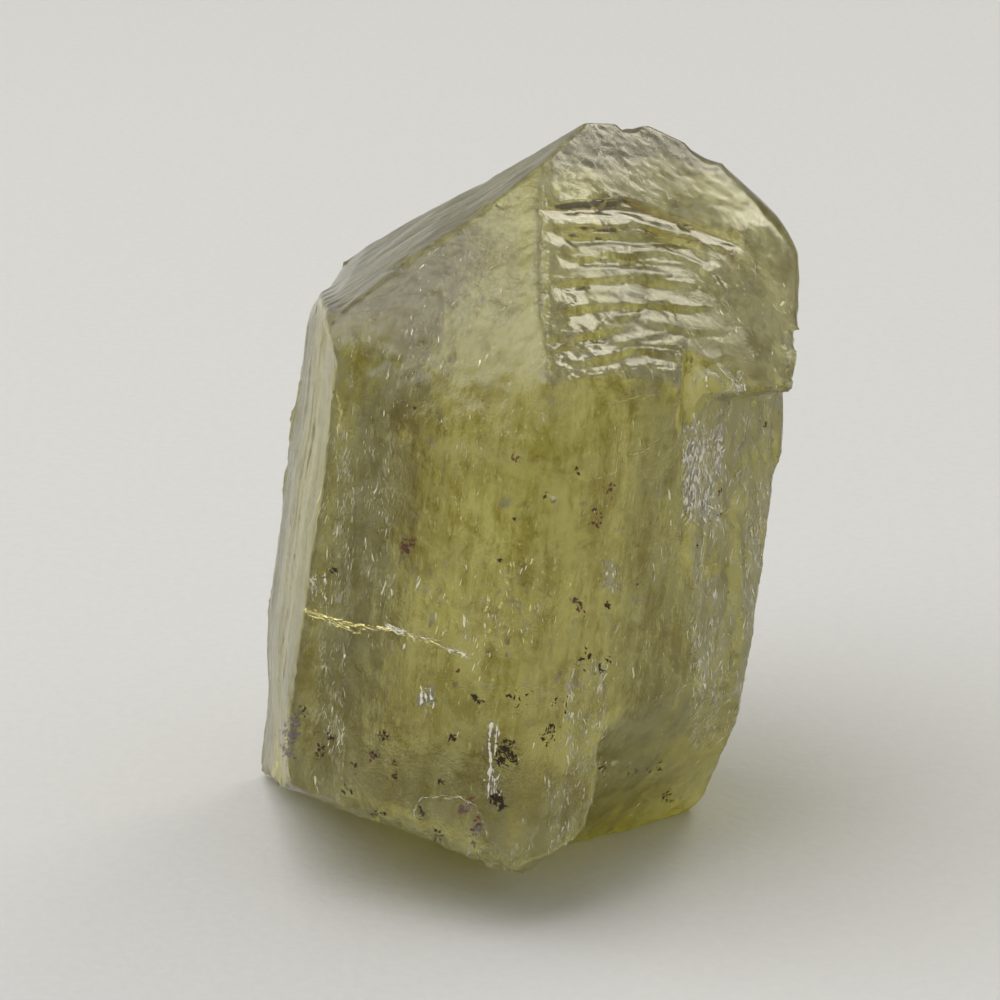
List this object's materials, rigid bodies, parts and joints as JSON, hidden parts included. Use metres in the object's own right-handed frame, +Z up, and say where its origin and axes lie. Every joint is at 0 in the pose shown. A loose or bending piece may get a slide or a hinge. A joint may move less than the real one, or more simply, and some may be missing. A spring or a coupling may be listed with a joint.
{
  "type": "fluorapatite crystal",
  "caption": "Stout yellow-green hexagonal crystal with a six-sided pyramid, growth ledges, a broken corner and a broken foot; stands on its foot as a display piece.",
  "frame": {"origin": "centre of the bounding box at the surface that the crystal stands on", "axes": "+Z up out of the surface, -Y towards the front with the ledged pyramid face, +X to the right of it. The crystal's long axis leans 6.6 degrees to +X and 8.4 degrees to +Y."},
  "size_m": [0.0182, 0.0208, 0.0234],
  "materials": {
    "apatite": "clear to cloudy olive-green mineral, vitreous on the grown faces and frosted on the breaks"
  },
  "bodies": {
    "root": {"crystal": "apatite"}
  },
  "joints": []
}
